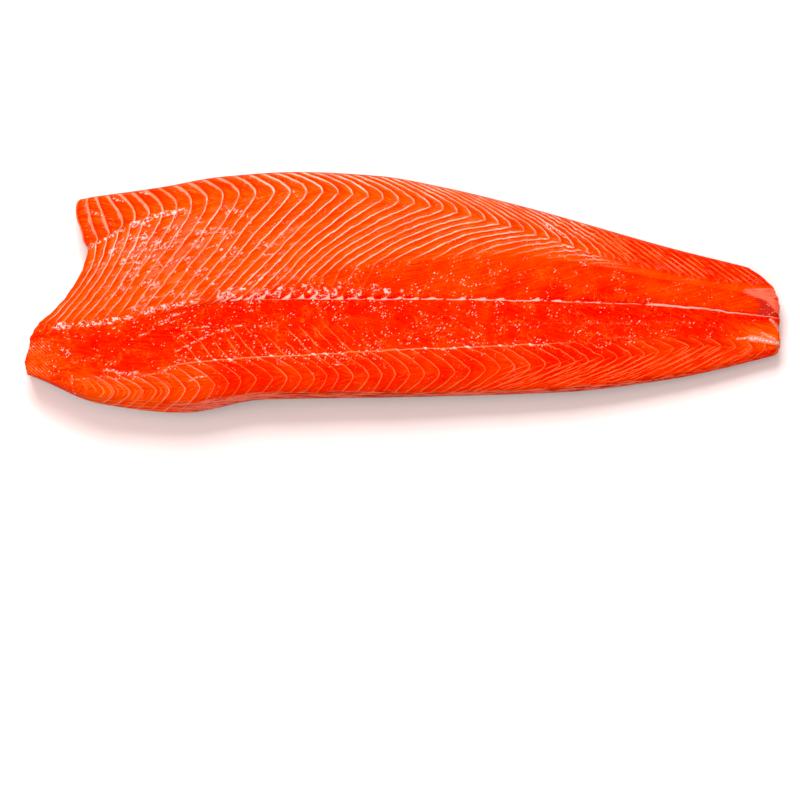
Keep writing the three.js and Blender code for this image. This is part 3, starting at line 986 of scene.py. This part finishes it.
SKIN_CLEAR = 0.5  # room below the skin for its scales
SKIN_INSET = 0.0015  # how far the skin stays within the flesh, as a share of its length or width
SCALE_LENGTH, SCALE_WIDTH, SCALE_HEIGHT = 3.9, 2.9, 0.34
SCALE_ROW, SCALE_STEP = 1.5, 3.7
SCALE_LEAN = {"Min": (-0.05, 0.04, -0.12), "Max": (0.05, 0.11, 0.12)}
SCALE_GROWTH = {"Min": (0.9, 0.85, 0.8), "Max": (1.08, 1.1, 1)}
SCALE_SHADES, SCALE_SEED = (0.3, 1), 7


def make_skin_sheet(material):
    shell = Shell()
    rows = np.linspace(SKIN_INSET, 1 - SKIN_INSET, 141)
    columns = spread((14, 30, 6), (SKIN_INSET, 0.2, 0.93, 1 - SKIN_INSET))
    layers = []
    for height, up in ((SKIN_THICKNESS, True), (SKIN_CLEAR, False)):
        points, _, across = under_sheet(rows, columns, height)
        layers.append(shell.add(points, across=across, shade=0))
        shell.sheet(layers[-1], up)
    top, bottom = layers
    shell.ring(loop_of(bottom), loop_of(top))
    return shell.build("fillet_skin", material)


def across_at(x, y):
    """The place across the fillet of the points x, y."""
    rails = np.stack([route(x) for route in routes])
    across = np.zeros(x.shape)
    for i in range(len(ACROSS) - 1):
        t = np.clip((y - rails[i]) / (rails[i + 1] - rails[i]), 0, 1)
        across += t * (ACROSS[i + 1] - ACROSS[i])
    return across


def scale_points():
    """Centres of the scales in staggered rows under the skin, with the skin's outward normals."""
    rows = np.arange(-WIDTH / 2, WIDTH / 2, SCALE_ROW)
    columns = np.arange(-LENGTH / 2, LENGTH / 2, SCALE_STEP)
    x, y = np.meshgrid(columns, rows, indexing="ij")
    x = x + (np.arange(len(rows)) % 2) * SCALE_STEP / 2 + 0.25 * noise(x, y, 5, 40)
    y = y + 0.25 * noise(x, y, 4, 41) + 1.5 * noise(x, y, 60, 42)
    across = across_at(x, y)

    def height(x, y):
        return underside(x, across_at(x, y)) + SKIN_CLEAR

    z = height(x, y)
    slopes = [height(x + 0.5, y) - z, height(x, y + 0.5) - z, np.full(z.shape, -0.5)]
    outward = np.stack(slopes, -1)
    outward /= np.linalg.norm(outward, axis=-1, keepdims=True)
    from_cuts = np.minimum(x - plan_x(0, across), plan_x(SEPTA, across) - x)
    from_edges = np.minimum(y - routes[BACK_EDGE](x), routes[BELLY_EDGE](x) - y)
    keep = (from_cuts > SCALE_LENGTH) & (from_edges > SCALE_WIDTH * 0.7)
    return np.stack([x, y, z], -1)[keep], outward[keep], across[keep]


def scale_tree(material):
    """Geometry Nodes that set one scale on each point and join them."""
    tree = bpy.data.node_groups.new("scales", "GeometryNodeTree")
    face = tree.interface
    face.new_socket("Points", in_out="INPUT", socket_type="NodeSocketGeometry")
    for name in ("Length", "Width", "Height"):
        face.new_socket(name, in_out="INPUT", socket_type="NodeSocketFloat")
    face.new_socket("Seed", in_out="INPUT", socket_type="NodeSocketInt")
    face.new_socket("Scales", in_out="OUTPUT", socket_type="NodeSocketGeometry")

    def node(kind, inputs=None, **settings):
        return add_node(tree, kind, settings, inputs or {}).outputs

    given = node("NodeGroupInput")

    def random_vector(limits):
        inputs = {**limits, "Seed": given["Seed"]}
        return node("FunctionNodeRandomValue", inputs, data_type="FLOAT_VECTOR")["Value"]

    cone = {"Vertices": 6, "Radius Top": 0, "Radius Bottom": 0.5, "Depth": 1}
    cone = node("GeometryNodeMeshCone", cone, fill_type="NGON")["Mesh"]
    size = node("ShaderNodeCombineXYZ", {0: given["Length"], 1: given["Width"], 2: given["Height"]})
    shaped = node("GeometryNodeTransform", {"Geometry": cone, "Scale": size[0]})["Geometry"]
    normal = node("GeometryNodeInputNamedAttribute", {"Name": "outward"}, data_type="FLOAT_VECTOR")
    aligned = node("FunctionNodeAlignEulerToVector", {"Vector": normal["Attribute"]}, axis="Z")
    turn = {"Rotation": aligned["Rotation"], "Rotate By": random_vector(SCALE_LEAN)}
    turned = node("FunctionNodeRotateEuler", turn, rotation_type="EULER", space="LOCAL")["Rotation"]
    placing = {"Points": given["Points"], "Instance": shaped, "Rotation": turned,
               "Scale": random_vector(SCALE_GROWTH)}
    placed = node("GeometryNodeInstanceOnPoints", placing)["Instances"]
    shade = {2: SCALE_SHADES[0], 3: SCALE_SHADES[1], "Seed": given["Seed"]}
    shade = node("FunctionNodeRandomValue", shade, data_type="FLOAT")[1]
    shading = {"Geometry": placed, "Name": "shade", "Value": shade}
    shaded = node("GeometryNodeStoreNamedAttribute", shading, data_type="FLOAT", domain="INSTANCE")
    real = node("GeometryNodeRealizeInstances", {"Geometry": shaded["Geometry"]})["Geometry"]
    done = node("GeometryNodeSetMaterial", {"Geometry": real, "Material": material})["Geometry"]
    node("NodeGroupOutput", {"Scales": done})
    return tree


def make_scales(material):
    centre, outward, across = scale_points()
    mesh = bpy.data.meshes.new("scale_points")
    mesh.from_pydata((centre * MM).tolist(), [], [])
    store(mesh, "outward", "FLOAT_VECTOR", outward)
    store(mesh, "across", "FLOAT", across)
    holder = add_object("scale_points", mesh)

    tree = scale_tree(material)
    modifier = holder.modifiers.new("scales", "NODES")
    modifier.node_group = tree
    sizes = {"Length": SCALE_LENGTH * MM, "Width": SCALE_WIDTH * MM, "Height": SCALE_HEIGHT * MM,
             "Seed": SCALE_SEED}
    for socket in tree.interface.items_tree:
        if socket.in_out == "INPUT" and socket.name in sizes:
            modifier[socket.identifier] = sizes[socket.name]
    evaluated = holder.evaluated_get(bpy.context.evaluated_depsgraph_get())
    scales = bpy.data.meshes.new_from_object(evaluated)
    bpy.data.objects.remove(holder)
    scales.polygons.foreach_set("use_smooth", [False] * len(scales.polygons))
    return add_object("fillet_scales", scales)


def skin_finish():
    f = Finish("salmon_skin")
    place = f.places()
    across, shade = f.attribute("across"), f.attribute("shade")
    patch = f.noise(place, 14, 3)
    side = (across + (patch - 0.5) * 0.16).smooth(0.08, 0.62)
    belly = (across + (patch - 0.5) * 0.12).smooth(0.6, 0.85)
    silver, dark = (f.mix(f.mix(*upper, side), low, belly) for *upper, low in (SILVER, DARK))
    tint = f.noise(place, 5, 2).smooth(0.54, 0.74) * 0.35
    pearl = f.mix(silver, SCALE_TINT, tint)
    # Painted highlights: scales brighter in patches.
    painted_sparkle = f.noise(place, 2.2, 1)
    colour = f.mix(dark, pearl, shade * (0.3 + 0.7 * painted_sparkle.smooth(0.3, 0.6)))
    return f.surface(
        Base_Color=colour,
        Roughness=0.22 + 0.2 * patch,
        Metallic=0.2 * shade,
        Coat_Weight=0.5,
        Coat_Roughness=0.1,
        Normal=f.bump(f.noise(place, 0.8, 2), 0.06, 0.5),
    )


# ---- setting ----


FLOOR_SIZE = 8
# The floor's pink tint shows only in shadow, where it stands for light bounced off the red flesh:
# painted bounce light. Where lit, it shows white.
FLOOR_COLOUR, WORLD_COLOUR = (1, 0.9, 0.88, 1), (1, 0.87, 0.84, 1)
WORLD_LEVEL, WORLD_IN_REFLECTIONS = 0.55, 0.12
BLACK_LEVEL = 0.012
# Lamps, as name, place, width and height in metres, watts, and whether one shows in wet flesh.
LAMPS = (
    ("window", (-0.25, 1.5, 1.25), (1.2, 0.9), 50, False),
    ("front_card", (-0.3, -1.7, 1), (1.6, 0.6), 10, False),
    ("side_card", (-1.7, -0.1, 0.7), (1, 0.6), 10, False),
    ("spark", (0.43, 0.75, 1.95), (0.14, 0.14), 0.6, True),
)
CAMERA_AWAY = 2.6
CAMERA_TILT = math.radians(1)  # from straight down
VIEW_WIDTH = 800 * 0.6085 * MM
VIEW_CENTRE = Vector((-1.8 * MM, -65.7 * MM, 0.008))
SENSOR_WIDTH = 36


def make_floor():
    bpy.ops.mesh.primitive_plane_add(size=FLOOR_SIZE)
    floor = bpy.context.object
    floor.name = "floor"
    f = Finish("floor_white")
    floor.data.materials.append(f.surface(Base_Color=FLOOR_COLOUR, Roughness=0.8))
    floor.visible_glossy = False


def make_lamp(name, place, size, power, in_gloss):
    """A lamp that faces the fillet."""
    data = bpy.data.lights.new(name, "AREA")
    data.shape = "RECTANGLE"
    data.size, data.size_y = size
    data.energy = power
    lamp = add_object(name, data)
    lamp.location = place
    lamp.rotation_euler = (-Vector(place)).to_track_quat("-Z", "Y").to_euler()
    lamp.visible_glossy = in_gloss


def make_camera():
    data = bpy.data.cameras.new("camera")
    data.sensor_width = SENSOR_WIDTH
    data.lens = SENSOR_WIDTH * CAMERA_AWAY / VIEW_WIDTH
    camera = add_object("camera", data)
    back = Vector((0, -math.sin(CAMERA_TILT), math.cos(CAMERA_TILT)))
    camera.location = VIEW_CENTRE + back * CAMERA_AWAY
    camera.rotation_euler = (CAMERA_TILT, 0, 0)
    bpy.context.scene.camera = camera


def make_world():
    """A white room that barely shows in reflections, so that wet flesh keeps its colour."""
    world = bpy.data.worlds.new("studio")
    world.use_nodes = True
    tree = world.node_tree
    ray = add_node(tree, "ShaderNodeLightPath", {}, {})
    inputs = {"Value": ray.outputs["Is Glossy Ray"], "To Min": WORLD_LEVEL,
              "To Max": WORLD_LEVEL * WORLD_IN_REFLECTIONS}
    level = add_node(tree, "ShaderNodeMapRange", {}, inputs)
    background = tree.nodes["Background"].inputs
    background["Color"].default_value = WORLD_COLOUR
    tree.links.new(level.outputs["Result"], background["Strength"])
    bpy.context.scene.world = world


def make_setting():
    make_floor()
    make_world()
    for lamp in LAMPS:
        make_lamp(*lamp)
    view = bpy.context.scene.view_settings
    view.view_transform = "Standard"
    view.use_curve_mapping = True
    view.curve_mapping.black_level = [BLACK_LEVEL] * 3


make_camera()
make_setting()

flesh = make_flesh(flesh_finish())
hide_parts("flesh")
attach(flesh, "root")

skin_look = skin_finish()
skin = make_skin_sheet(skin_look)
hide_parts("skin")
scales = make_scales(skin_look)
for piece in (skin, scales):
    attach(piece, "root")
